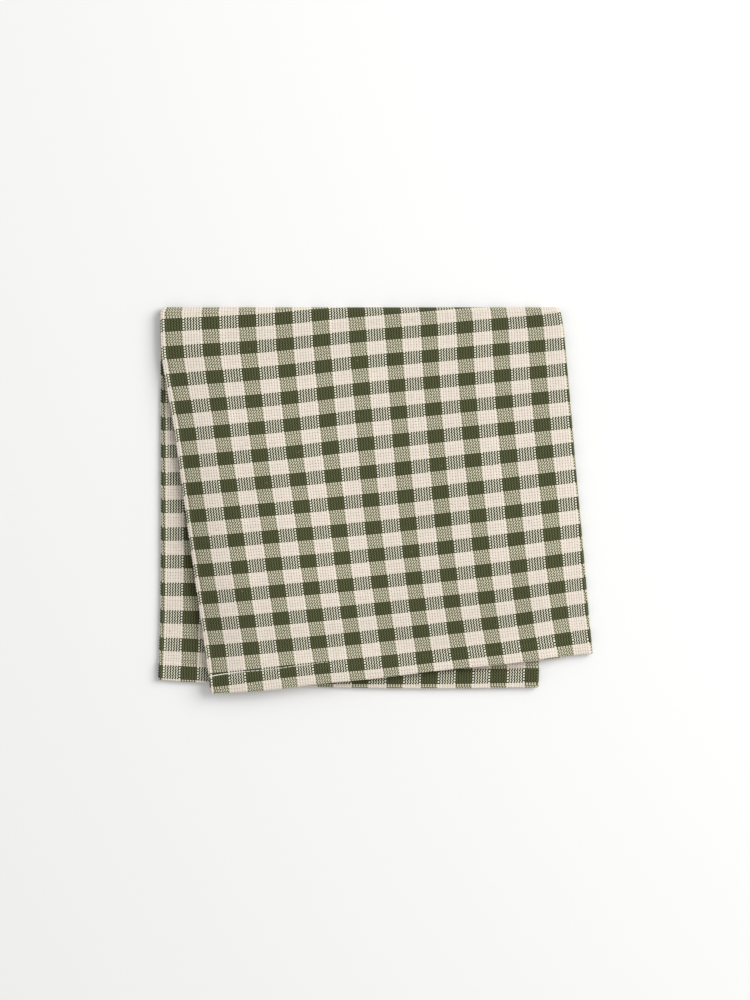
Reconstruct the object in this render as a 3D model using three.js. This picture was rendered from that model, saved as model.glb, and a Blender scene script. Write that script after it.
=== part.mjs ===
// A square check napkin of woven cotton, folded in four and laid down a little askew.
// The cloth is doubled sideways over a book fold on its right, and the doubled cloth is then turned back over
// a top fold, so four layers lie one above the other. It is one thin solid that follows the folds.
// Millimetres, +Z up, +X to the right, +Y towards the top fold. The origin is on the surface below, under the
// middle of the outline.
import * as THREE from "three";

const CLOTH_THICKNESS = 1.0;
const HEM_THICKNESS = 1.6;
const HEM_DEPTH = 9.6;
const LAYER_GAP = 0.5;

// The tables below are measured from a point this far from the middle of the finished outline.
const OUTLINE_MIDDLE = { x: 0.25, y: -0.46 };

// Points of the cloth nearer to the surface than this lie on it.
const TOUCHING = 0.02;

// The top fold: where the layers start to turn down, and how far each one reaches past that line.
const FOLD_LINE_Y = 109.0;
const OUTER_FOLD_REACH = 2.4;
const INNER_FOLD_REACH = 1.0;

// The book fold at the right: how far its round edge reaches, how much the two layers part there, and how
// wide the parting is as a share of the flap.
const BOOK_FOLD_REACH = 0.9;
const BOOK_FOLD_PARTING = 0.6;
const BOOK_FOLD_SHARE = 0.06;

// How far the corners draw in where the book fold and the selvedges pass over the top fold, and how wide each
// drawn-in corner is as a share of the flap.
const FOLD_CORNER_DRAW = 1.6;
const SELVEDGE_CORNER_DRAW = 0.8;
const CORNER_SHARE = 0.04;

// The covered layers stop a little short of the ones that cover them.
const HIDDEN_INSET = 1.1;

// How the front flap rides on the back flap: how far above it and above the surface, how far past the back
// flap's edge it takes to come down, and how softly it steps up onto the back flap's hem.
const FLAP_CLEARANCE = 1.0;
const TABLE_CLEARANCE = 0.4;
const STEP_DOWN_REACH = 32;
const HEM_STEP_REACH = 16;

// How finely the surface is divided, and how wide the slope is from the plain cloth up to the thicker hem.
const ACROSS_STEPS = 18;
const BOOK_FOLD_STEPS = 6;
const TOP_FOLD_STEPS = 8;
const FRONT_STEPS = 15;
const BACK_STEPS = 9;
const HEM_STEPS = 2;
const HEM_RAMP = 3;

// The front flap seen from above. Each row crosses it at one station, from the top fold (0) to the hem (1):
// where the row starts at the selvedge, where it ends at the book fold, and how far its middle bows.
const FRONT_PLAN = [
  { down: 0.0, leftX: -125.4, leftY: 109.0, rightX: 107.8, rightY: 109.0, bowX: 2.1, bowY: 0.0 },
  { down: 0.12, leftX: -124.5, leftY: 82.2, rightX: 110.0, rightY: 85.7, bowX: 1.8, bowY: 1.3 },
  { down: 0.3, leftX: -118.0, leftY: 42.2, rightX: 113.2, rightY: 49.8, bowX: -0.4, bowY: 1.1 },
  { down: 0.5, leftX: -111.8, leftY: -1.5, rightX: 116.7, rightY: 9.5, bowX: -1.2, bowY: -0.9 },
  { down: 0.75, leftX: -103.6, leftY: -57.1, rightX: 121.3, rightY: -40.6, bowX: -1.8, bowY: -2.0 },
  { down: 1.0, leftX: -95.2, leftY: -112.7, rightX: 125.3, rightY: -89.8, bowX: -0.8, bowY: -1.5 },
];

// The back flap, which lies square and shows at the left and along the bottom.
const BACK_PLAN = [
  { down: 0.0, leftX: -125.4, leftY: 109.0, rightX: 107.8, rightY: 109.0, bowX: 1.0, bowY: 0.0 },
  { down: 0.5, leftX: -125.0, leftY: 2.0, rightX: 100.4, rightY: 0.0, bowX: 0.0, bowY: -0.6 },
  { down: 0.8, leftX: -125.3, leftY: -62.3, rightX: 95.6, rightY: -66.0, bowX: 0.0, bowY: -1.6 },
  { down: 1.0, leftX: -126.5, leftY: -104.9, rightX: 93.2, rightY: -109.8, bowX: 0.0, bowY: -2.0 },
];

// How far the hem edges stand out past the straight line between their corners, for the layer that shows
// and for the one under it.
const FRONT_HEM_EDGE = [
  { across: 0.0, shown: 0.0, under: -1.0 },
  { across: 0.15, shown: 0.8, under: -0.6 },
  { across: 0.27, shown: -0.2, under: -0.8 },
  { across: 0.42, shown: 0.3, under: -0.6 },
  { across: 0.62, shown: -0.9, under: -1.2 },
  { across: 0.78, shown: 0.6, under: 0.2 },
  { across: 0.92, shown: 0.1, under: 0.7 },
  { across: 1.0, shown: 0.0, under: -0.2 },
];
const BACK_HEM_EDGE = [
  { across: 0.0, shown: 0.0, under: -0.9 },
  { across: 0.24, shown: -0.3, under: -1.0 },
  { across: 0.4, shown: 0.7, under: -0.4 },
  { across: 0.7, shown: 0.5, under: -0.7 },
  { across: 1.0, shown: 0.0, under: -0.8 },
];

// The loose left side of the front flap, at each station: how high its selvedge and its low ridge lift.
const LIFT = [
  { down: 0.0, selvedge: 0.0, ridge: 0.2 },
  { down: 0.2, selvedge: 0.6, ridge: 1.6 },
  { down: 0.45, selvedge: 2.0, ridge: 3.9 },
  { down: 0.7, selvedge: 2.5, ridge: 4.6 },
  { down: 0.9, selvedge: 0.9, ridge: 2.4 },
  { down: 1.0, selvedge: 0.3, ridge: 1.0 },
];
const RIDGE_ACROSS = 0.17;
const LIFT_ACROSS = 0.52;

// Low swells in the front flap: the middle of each, how far it spreads as shares of the flap, and its height.
const SWELLS = [
  { across: 0.42, down: 0.28, wide: 0.16, long: 0.2, rise: 0.7 },
  { across: 0.74, down: 0.5, wide: 0.14, long: 0.24, rise: 0.8 },
  { across: 0.56, down: 0.78, wide: 0.18, long: 0.12, rise: 0.6 },
  { across: 0.88, down: 0.2, wide: 0.09, long: 0.16, rise: 0.5 },
];

// The hem edges' shape fades out above this station.
const HEM_EDGE_START = 0.75;

const CLOTH_COLOUR = "#a39f88";

const { lerp, smoothstep } = THREE.MathUtils;

// Reads the column `key` of a table at the place `at` of its column `along`, on a smooth curve.
function read(table, along, key, at) {
  const last = table.length - 1;
  const row = Math.min(Math.max(table.findLastIndex((entry) => entry[along] <= at), 0), last - 1);
  const slope = (k) => {
    const [before, after] = [table[Math.max(k - 1, 0)], table[Math.min(k + 1, last)]];
    return (after[key] - before[key]) / (after[along] - before[along]);
  };
  const span = table[row + 1][along] - table[row][along];
  const u = THREE.MathUtils.clamp((at - table[row][along]) / span, 0, 1);
  const rise = table[row + 1][key] - table[row][key];
  const start = slope(row) * span;
  const end = slope(row + 1) * span;
  return table[row][key] + u * (start + u * (3 * rise - 2 * start - end + u * (start + end - 2 * rise)));
}

// The place of a point of a flap seen from above, for the layer that shows (under = 0) or the one below it.
function planPoint(plan, hemEdge, across, down, under) {
  const width = plan[0].rightX - plan[0].leftX;
  const s = across + (1 - across) * under * (HIDDEN_INSET / width);
  const at = (key) => read(plan, "down", key, down);
  const arch = 4 * s * (1 - s);
  const edge = lerp(read(hemEdge, "across", "shown", s), read(hemEdge, "across", "under", s), under);
  return new THREE.Vector2(
    lerp(at("leftX"), at("rightX"), s) + arch * at("bowX"),
    lerp(at("leftY"), at("rightY"), s) + arch * at("bowY") - edge * smoothstep(down, HEM_EDGE_START, 1),
  );
}

function thicknessAt(plan, down) {
  const length = plan[0].leftY - plan.at(-1).leftY;
  const hemStart = 1 - HEM_DEPTH / length;
  return lerp(CLOTH_THICKNESS, HEM_THICKNESS, smoothstep(down, hemStart - HEM_RAMP / length, hemStart));
}

function partingAt(across) {
  return LAYER_GAP + BOOK_FOLD_PARTING * smoothstep(across, 1 - BOOK_FOLD_SHARE, 1);
}

// The two layers of the back flap: the outer one lies flat on the surface, the inner one on top of it.
function backFlap(across, down) {
  const thickness = thicknessAt(BACK_PLAN, down);
  const outer = thickness / 2;
  const inner = outer + thickness + partingAt(across);
  return { outer, inner, thickness };
}

// The height that the back flap holds the front flap up to at a place seen from above.
function supportAt(place) {
  const down = THREE.MathUtils.inverseLerp(FOLD_LINE_Y, BACK_PLAN.at(-1).rightY, place.y);
  const rightEdge = read(BACK_PLAN, "down", "rightX", THREE.MathUtils.clamp(down, 0, 1)) + BOOK_FOLD_REACH;
  const leftX = BACK_PLAN.at(-1).leftX;
  const across = THREE.MathUtils.clamp((place.x - leftX) / (rightEdge - leftX), 0, 1);
  const bottomEdge = planPoint(BACK_PLAN, BACK_HEM_EDGE, across, 1, 0).y;
  const past = Math.max(place.x - rightEdge, bottomEdge - place.y);
  const hemTop = bottomEdge + HEM_DEPTH;
  const thickness = lerp(HEM_THICKNESS, CLOTH_THICKNESS, smoothstep(place.y, hemTop, hemTop + HEM_STEP_REACH));
  const held = 1 - smoothstep(past, -2, STEP_DOWN_REACH - 2);
  return held * (2 * thickness + LAYER_GAP) + lerp(TABLE_CLEARANCE, FLAP_CLEARANCE, held);
}

function liftAt(across, down) {
  const selvedge = read(LIFT, "down", "selvedge", down);
  const ridge = read(LIFT, "down", "ridge", down);
  if (across < RIDGE_ACROSS) {
    return lerp(selvedge, ridge, Math.sin((Math.PI / 2) * (across / RIDGE_ACROSS)));
  }
  return ridge * (1 - smoothstep(across, RIDGE_ACROSS, LIFT_ACROSS));
}

function swellAt(across, down) {
  return SWELLS.reduce((height, swell) => {
    const wide = (across - swell.across) / swell.wide;
    const long = (down - swell.down) / swell.long;
    return height + swell.rise * Math.exp(-wide * wide - long * long);
  }, 0);
}

// The two layers of the front flap: the inner one rides on the back flap, and the outer one shows.
function frontFlap(across, down) {
  const thickness = thicknessAt(FRONT_PLAN, down);
  const place = planPoint(FRONT_PLAN, FRONT_HEM_EDGE, across, down, 0);
  const inner = supportAt(place) + thickness / 2 + liftAt(across, down) + swellAt(across, down);
  const outer = inner + thickness + partingAt(across);
  return { outer, inner, thickness };
}

// A point of one layer, outer or inner, at one station of the way from the front hem over the fold to the back.
function layerPoint(across, station, inner) {
  const front = frontFlap(across, station.front);
  const back = backFlap(across, station.back);
  const frontPlace = planPoint(FRONT_PLAN, FRONT_HEM_EDGE, across, station.front, inner);
  const backPlace = planPoint(BACK_PLAN, BACK_HEM_EDGE, across, station.back, 1 - inner);
  const layer = inner ? "inner" : "outer";
  const reach = inner ? INNER_FOLD_REACH : OUTER_FOLD_REACH;
  const turned = Math.sin(station.turn);
  const middle = (front[layer] + back[layer]) / 2;
  const half = (front[layer] - back[layer]) / 2;
  const draw =
    SELVEDGE_CORNER_DRAW * (1 - smoothstep(across, 0, CORNER_SHARE)) -
    FOLD_CORNER_DRAW * smoothstep(across, 1 - CORNER_SHARE, 1);
  const place = frontPlace.clone().lerp(backPlace, station.turn / Math.PI);
  return {
    at: new THREE.Vector3(
      place.x + draw * turned,
      place.y + reach * turned,
      middle + half * Math.cos(station.turn),
    ),
    thickness: lerp(front.thickness, back.thickness, station.turn / Math.PI),
  };
}

// The stations: `front` and `back` say how far down a flap a station lies, and `turn` is the angle about the
// top fold, from 0 on the front flap to half a turn on the back flap.
function stations() {
  const flap = (plan, steps) => {
    const length = plan[0].leftY - plan.at(-1).leftY;
    const hemStart = 1 - HEM_DEPTH / length;
    const body = hemStart - HEM_RAMP / length;
    const flat = Array.from({ length: steps + 1 }, (_, k) => (body * k) / steps);
    const hem = Array.from({ length: HEM_STEPS + 1 }, (_, k) => lerp(hemStart, 1, k / HEM_STEPS));
    return [...flat, ...hem];
  };
  const front = flap(FRONT_PLAN, FRONT_STEPS).map((down) => ({ front: down, back: 0, turn: 0 }));
  const back = flap(BACK_PLAN, BACK_STEPS).map((down) => ({ front: 0, back: down, turn: Math.PI }));
  const fold = Array.from({ length: TOP_FOLD_STEPS - 1 }, (_, k) => ({
    front: 0,
    back: 0,
    turn: (Math.PI * (k + 1)) / TOP_FOLD_STEPS,
  }));
  return [...front.reverse(), ...fold, ...back];
}

// One station's section: out along the outer layer, round the book fold, and back along the inner layer.
function sectionPoints(station) {
  const along = Array.from({ length: ACROSS_STEPS + 1 }, (_, k) => k / ACROSS_STEPS);
  const outer = along.map((across) => layerPoint(across, station, 0));
  const inner = along.map((across) => layerPoint(across, station, 1)).reverse();
  const [from, to] = [outer.at(-1), inner[0]];
  const fold = Array.from({ length: BOOK_FOLD_STEPS - 1 }, (_, k) => {
    const angle = (Math.PI * (k + 1)) / BOOK_FOLD_STEPS;
    const at = from.at.clone().lerp(to.at, (1 - Math.cos(angle)) / 2);
    at.x += BOOK_FOLD_REACH * Math.sin(angle);
    return { at, thickness: from.thickness };
  });
  return [...outer, ...fold, ...inner];
}

// The cloth's closed surface: the middle of the sheet moved half a thickness each way, and walls round its edge.
function clothGeometry() {
  const grid = stations().map(sectionPoints);
  const rows = grid.length;
  const columns = grid[0].length;
  const difference = (a, b) => new THREE.Vector3().subVectors(b.at, a.at);
  const positions = [];
  for (const side of [1, -1]) {
    grid.forEach((row, r) => {
      row.forEach((point, c) => {
        const along = difference(grid[Math.max(r - 1, 0)][c], grid[Math.min(r + 1, rows - 1)][c]);
        const across = difference(row[Math.max(c - 1, 0)], row[Math.min(c + 1, columns - 1)]);
        const normal = across.cross(along).normalize();
        const place = point.at.clone().addScaledVector(normal, (side * point.thickness) / 2);
        positions.push(place.x, place.y, place.z < TOUCHING ? 0 : place.z);
      });
    });
  }
  const indices = [];
  const quad = (a, b, c, d) => indices.push(a, b, c, a, c, d);
  const outside = (r, c) => r * columns + c;
  const inside = (r, c) => rows * columns + r * columns + c;
  for (let r = 0; r < rows - 1; r += 1) {
    for (let c = 0; c < columns - 1; c += 1) {
      quad(outside(r + 1, c), outside(r, c), outside(r, c + 1), outside(r + 1, c + 1));
      quad(inside(r, c), inside(r + 1, c), inside(r + 1, c + 1), inside(r, c + 1));
    }
    quad(outside(r, 0), outside(r + 1, 0), inside(r + 1, 0), inside(r, 0));
    quad(outside(r + 1, columns - 1), outside(r, columns - 1), inside(r, columns - 1), inside(r + 1, columns - 1));
  }
  for (let c = 0; c < columns - 1; c += 1) {
    quad(outside(0, c + 1), outside(0, c), inside(0, c), inside(0, c + 1));
    quad(outside(rows - 1, c), outside(rows - 1, c + 1), inside(rows - 1, c + 1), inside(rows - 1, c));
  }
  const geometry = new THREE.BufferGeometry();
  geometry.setAttribute("position", new THREE.Float32BufferAttribute(positions, 3));
  geometry.setIndex(indices);
  geometry.computeVertexNormals();
  geometry.translate(-OUTLINE_MIDDLE.x, -OUTLINE_MIDDLE.y, 0);
  return geometry;
}

const napkin = new THREE.Group();
const cloth = new THREE.Mesh(
  clothGeometry(),
  new THREE.MeshStandardMaterial({ color: CLOTH_COLOUR, roughness: 0.95, metalness: 0 }),
);
cloth.name = "napkin_cloth";
napkin.add(cloth);

export default napkin;
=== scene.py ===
"""A square check napkin of woven cotton, folded in four, on a pale table top, seen from above."""

import logging
import math
from dataclasses import dataclass, field
from enum import Enum
from typing import NamedTuple, Sequence, Union

import bpy
import numpy as np
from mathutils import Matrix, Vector


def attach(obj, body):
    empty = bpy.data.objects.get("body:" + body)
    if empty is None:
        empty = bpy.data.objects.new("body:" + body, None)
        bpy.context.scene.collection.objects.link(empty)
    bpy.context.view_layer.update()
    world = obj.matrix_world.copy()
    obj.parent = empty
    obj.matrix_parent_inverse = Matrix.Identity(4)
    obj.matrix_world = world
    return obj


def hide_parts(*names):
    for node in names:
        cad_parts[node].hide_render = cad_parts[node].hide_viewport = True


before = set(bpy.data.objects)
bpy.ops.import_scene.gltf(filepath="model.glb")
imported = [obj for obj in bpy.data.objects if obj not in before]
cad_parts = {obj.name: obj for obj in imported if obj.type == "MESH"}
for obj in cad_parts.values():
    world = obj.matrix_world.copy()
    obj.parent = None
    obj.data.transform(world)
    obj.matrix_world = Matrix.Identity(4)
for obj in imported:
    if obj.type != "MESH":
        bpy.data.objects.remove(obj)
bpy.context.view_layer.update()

LOG = logging.getLogger("napkin")
MM = 0.001
CLOTH_NODE = "napkin_cloth"
WEAVE_MAP = "weave"


class PlanRow(NamedTuple):
    """One row across a flap seen from above, in millimetres: its two ends and its middle's bow."""

    down: float
    left_x: float
    left_y: float
    right_x: float
    right_y: float
    bow_x: float
    bow_y: float


class EdgeRow(NamedTuple):
    """How far a hem's edge stands out at one place: the layer that shows, and the one under it."""

    across: float
    shown: float
    under: float


class LiftRow(NamedTuple):
    """How high the front flap's loose left side lifts at one station: its selvedge, its ridge."""

    down: float
    selvedge: float
    ridge: float


class Swell(NamedTuple):
    """A low swell in the front flap: its middle and spread, as shares of the flap, and height."""

    across: float
    down: float
    wide: float
    long: float
    rise: float


class DriftRow(NamedTuple):
    """The five places lie evenly across the flap, from the selvedge to the book fold.
    """

    down: float
    selvedge: float
    quarter: float
    middle: float
    three_quarters: float
    fold: float


class Layer(Enum):
    """The doubled cloth's two layers: the one outside the top fold, and the one inside it."""

    OUTER = 0
    INNER = 1


FRONT_PLAN = (
    PlanRow(0.0, -124.9, 109.0, 107.0, 109.0, 2.2, 0.0),
    PlanRow(0.045, -124.75, 98.95, 108.5, 100.3, 2.0, 0.5),
    PlanRow(0.12, -123.9, 82.2, 110.0, 85.7, 1.8, 1.3),
    PlanRow(0.3, -117.0, 42.2, 113.2, 49.8, -0.4, 1.1),
    PlanRow(0.5, -110.9, -1.5, 116.7, 9.5, -1.2, -0.9),
    PlanRow(0.75, -103.1, -57.1, 121.3, -40.6, -1.8, -2.0),
    PlanRow(1.0, -95.2, -112.7, 125.3, -89.8, -0.8, -1.5),
)
BACK_PLAN = (
    PlanRow(0.0, -124.9, 109.0, 107.0, 109.0, 1.0, 0.0),
    PlanRow(0.5, -124.6, 2.0, 100.4, 0.0, 0.0, -0.6),
    PlanRow(0.8, -125.0, -62.3, 95.6, -66.0, 0.0, -1.6),
    PlanRow(1.0, -126.3, -104.9, 93.8, -109.8, -0.5, -2.0),
)
FRONT_HEM_EDGE = (
    EdgeRow(0.0, 0.0, -1.0),
    EdgeRow(0.15, 0.8, -0.6),
    EdgeRow(0.27, -0.2, -0.8),
    EdgeRow(0.42, -0.2, -0.8),
    EdgeRow(0.62, -0.9, -1.2),
    EdgeRow(0.78, -0.3, -0.4),
    EdgeRow(0.92, -0.8, 0.0),
    EdgeRow(1.0, 0.0, -0.2),
)
BACK_HEM_EDGE = (
    EdgeRow(0.0, 0.0, -0.9),
    EdgeRow(0.2, 0.5, -0.6),
    EdgeRow(0.4, 0.1, -0.7),
    EdgeRow(0.7, -0.1, -0.8),
    EdgeRow(1.0, -0.5, -1.1),
)
LIFT = (
    LiftRow(0.0, 0.0, 0.2),
    LiftRow(0.2, 0.4, 2.2),
    LiftRow(0.45, 1.4, 4.7),
    LiftRow(0.7, 1.7, 5.3),
    LiftRow(0.9, 0.6, 3.0),
    LiftRow(1.0, 0.3, 1.2),
)
SWELLS = (
    Swell(0.42, 0.28, 0.16, 0.2, 0.7),
    Swell(0.74, 0.5, 0.14, 0.24, 0.8),
    Swell(0.56, 0.78, 0.18, 0.12, 0.6),
    Swell(0.88, 0.2, 0.09, 0.16, 0.5),
)
ACROSS_DRIFT = (
    DriftRow(0.0, 0.02, 0.012, -0.016, -0.05, -0.06),
    DriftRow(0.15, 0.0, 0.008, -0.01, 0.022, -0.018),
    DriftRow(0.35, 0.0, 0.036, -0.007, 0.022, 0.0),
    DriftRow(0.55, 0.014, -0.002, 0.01, 0.022, -0.016),
    DriftRow(0.75, 0.004, -0.014, 0.0, 0.016, 0.006),
    DriftRow(0.9, -0.006, 0.0, 0.002, -0.012, -0.026),
    DriftRow(1.0, 0.05, 0.015, 0.02, -0.052, -0.082),
)
ALONG_DRIFT = (
    DriftRow(0.0, 0.005, 0.04, -0.023, 0.01, 0.11),
    DriftRow(0.15, 0.02, 0.07, -0.004, 0.018, 0.028),
    DriftRow(0.35, 0.045, 0.05, -0.012, -0.028, -0.042),
    DriftRow(0.55, 0.05, 0.01, 0.006, -0.03, -0.046),
    DriftRow(0.75, 0.036, -0.008, -0.016, -0.002, -0.042),
    DriftRow(0.9, 0.008, 0.006, -0.002, -0.013, -0.098),
    DriftRow(1.0, 0.06, -0.066, -0.003, -0.003, -0.06),
)


def read(table: Sequence[NamedTuple], along: str, key: str, at: np.ndarray) -> np.ndarray:
    """Reads one column of a short table on a smooth curve.

    Args:
        table: the rows, in the order of their `along` column.
        along: the column that `at` is measured along.
        key: the column to read.
        at: the places to read it at.

    Returns:
        The column's values at those places.
    """
    where = np.array([getattr(row, along) for row in table])
    value = np.array([getattr(row, key) for row in table])
    last = len(table) - 1
    before = np.maximum(np.arange(last + 1) - 1, 0)
    after = np.minimum(np.arange(last + 1) + 1, last)
    slope = (value[after] - value[before]) / (where[after] - where[before])
    row = np.clip(np.searchsorted(where, at, side="right") - 1, 0, last - 1)
    span = where[row + 1] - where[row]
    u = np.clip((at - where[row]) / span, 0.0, 1.0)
    rise = value[row + 1] - value[row]
    start = slope[row] * span
    end = slope[row + 1] * span
    bend = 3 * rise - 2 * start - end
    twist = start + end - 2 * rise
    return value[row] + u * (start + u * (bend + u * twist))


def smoothstep(x: np.ndarray, low: float, high: float) -> np.ndarray:
    """Rises smoothly from 0 at `low` to 1 at `high`."""
    t = np.clip((x - low) / (high - low), 0.0, 1.0)
    return t * t * (3.0 - 2.0 * t)


def lerp(a: np.ndarray, b: np.ndarray, t: np.ndarray) -> np.ndarray:
    """Mixes two values: a where t is 0, and b where t is 1."""
    return a + (b - a) * t


def drift(table: Sequence[DriftRow], across: np.ndarray, down: np.ndarray) -> np.ndarray:
    """Args:
        table: the rows to read.
        across: the share of the way from the selvedge to the book fold.
        down: the share of the way from the top fold to the hem.

    Returns:
        The drift, in repeats of the check.
    """
    keys = DriftRow._fields[1:]
    total = np.zeros(np.broadcast(across, down).shape)
    for number, key in enumerate(keys):
        apart = np.clip(np.abs((len(keys) - 1) * across - number), 0.0, 1.0)
        total += read(table, "down", key, down) * (1 + np.cos(math.pi * apart)) / 2
    return total


@dataclass(frozen=True)
class Flap:
    """One flap of the folded cloth: its plan and its hem's outline, in millimetres.

    The layer that is hidden is set in at its selvedge. The hem's outline shows from a station on.
    """

    plan: tuple[PlanRow, ...]
    hem_edge: tuple[EdgeRow, ...]
    hidden_inset: float = 1.1
    hem_edge_start: float = 0.75

    @property
    def width(self) -> float:
        """The flap's width at the top fold."""
        return self.plan[0].right_x - self.plan[0].left_x

    @property
    def length(self) -> float:
        """The flap's length down its left side."""
        return self.plan[0].left_y - self.plan[-1].left_y

    def place(
        self, across: np.ndarray, down: np.ndarray, under: float
    ) -> tuple[np.ndarray, np.ndarray]:
        """Finds points of the flap seen from above.

        Args:
            across: the share of the way from the selvedge to the book fold.
            down: the share of the way from the top fold to the hem.
            under: 0 for the layer that shows, 1 for the one beneath it.

        Returns:
            The points' x and y, in millimetres.
        """
        s = across + (1 - across) * under * (self.hidden_inset / self.width)
        arch = 4 * s * (1 - s)
        shown = read(self.hem_edge, "across", "shown", s)
        covered = read(self.hem_edge, "across", "under", s)
        edge = lerp(shown, covered, under) * smoothstep(down, self.hem_edge_start, 1.0)
        column = {key: read(self.plan, "down", key, down) for key in PlanRow._fields[1:]}
        x = lerp(column["left_x"], column["right_x"], s) + arch * column["bow_x"]
        y = lerp(column["left_y"], column["right_y"], s) + arch * column["bow_y"] - edge
        return x, y


class Station(NamedTuple):
    """How far down the front and the back flap points lie, and their angle about the top fold."""

    front: np.ndarray
    back: np.ndarray
    turn: np.ndarray


class Sheet(NamedTuple):
    """The cloth's grid of points: its middle, unit normals, thickness and place in the weave."""

    middle: np.ndarray
    normal: np.ndarray
    thickness: np.ndarray
    weave: np.ndarray


class Ripple(NamedTuple):
    """One slow wave of the lying cloth: its length, heading in degrees, rise and phase."""

    length: float
    heading: float
    rise: float
    phase: float


class StitchRow(NamedTuple):
    """Where the stitching runs at one place across, in rows of the check from either end."""

    across: float
    front: float
    back: float


RIPPLES = (
    Ripple(61.0, 24.0, 0.10, 0.3),
    Ripple(37.0, 118.0, 0.07, 1.9),
    Ripple(23.0, 71.0, 0.045, 4.1),
    Ripple(15.5, 8.0, 0.03, 2.6),
    Ripple(10.5, 146.0, 0.02, 5.2),
    Ripple(7.2, 97.0, 0.012, 0.8),
)
STITCH_ROWS = (
    StitchRow(0.0, 1.10, 1.23),
    StitchRow(0.07, 1.16, 1.22),
    StitchRow(0.2, 1.15, 1.20),
    StitchRow(0.3, 1.19, 1.18),
    StitchRow(0.45, 1.24, 1.20),
    StitchRow(0.7, 1.25, 1.22),
    StitchRow(1.0, 1.20, 1.22),
)


@dataclass(frozen=True)
class RowLine:
    """The row of the check along a fold or a hem, from the selvedge (left) to the book fold."""

    left: float
    right: float
    arch: float = 0.0
    lateness: float = 1.0

    def at(self, across: np.ndarray) -> np.ndarray:
        """The row at a share of the way across."""
        arch = self.arch * 4 * across * (1 - across)
        return lerp(self.left, self.right, across**self.lateness) + arch


@dataclass(frozen=True)
class WeaveLayout:
    """Where the check's repeats lie on the folded cloth, in columns and rows from its corner.

    The outer layer's columns roll over the book fold a little, from a share across and down.
    """

    outer_selvedge: float = -0.36
    outer_fold: float = 10.78
    inner_fold: float = 10.91
    inner_selvedge: float = 21.88
    fold_roll: float = 0.045
    roll_from_across: float = 0.95
    roll_from_down: float = 0.5
    front_rows: float = 14.0
    last_row: float = 29.0
    back_lateness: float = 0.12
    outer_rows: tuple[RowLine, ...] = (
        RowLine(0.46, 0.40, -0.04),
        RowLine(14.45, 13.12, 0.14),
        RowLine(15.07, 13.82, 0.14),
        RowLine(28.30, 28.41),
    )
    inner_rows: tuple[RowLine, ...] = (
        RowLine(0.44, 0.24),
        RowLine(14.34, 13.12, 0.0, 3.0),
        RowLine(14.96, 13.82, 0.0, 3.0),
        RowLine(28.30, 28.41),
    )

    def rows(self, layer: Layer) -> tuple[RowLine, ...]:
        """The rows at the front hem, the fold's front, the fold's back and the back hem."""
        return self.outer_rows if layer is Layer.OUTER else self.inner_rows

    def outer_column(self, across: np.ndarray, station: Station) -> np.ndarray:
        """Args:
            across: the share of the way from the selvedge to the book fold.
            station: where the points lie along the cloth.

        Returns:
            The column at each point.
        """
        front_share = 1 - station.turn / math.pi
        column = lerp(self.outer_selvedge, self.outer_fold, across)
        column = column + drift(ACROSS_DRIFT, across, station.front) * front_share
        near_fold = smoothstep(across, self.roll_from_across, 1.0)
        near_fold = near_fold * smoothstep(station.front, self.roll_from_down, 1.0)
        return column + self.fold_roll * near_fold

    def inner_column(self, across: np.ndarray) -> np.ndarray:
        """The column of the check at a share of the way across the inner layer."""
        return lerp(self.inner_selvedge, self.inner_fold, across)


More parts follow.
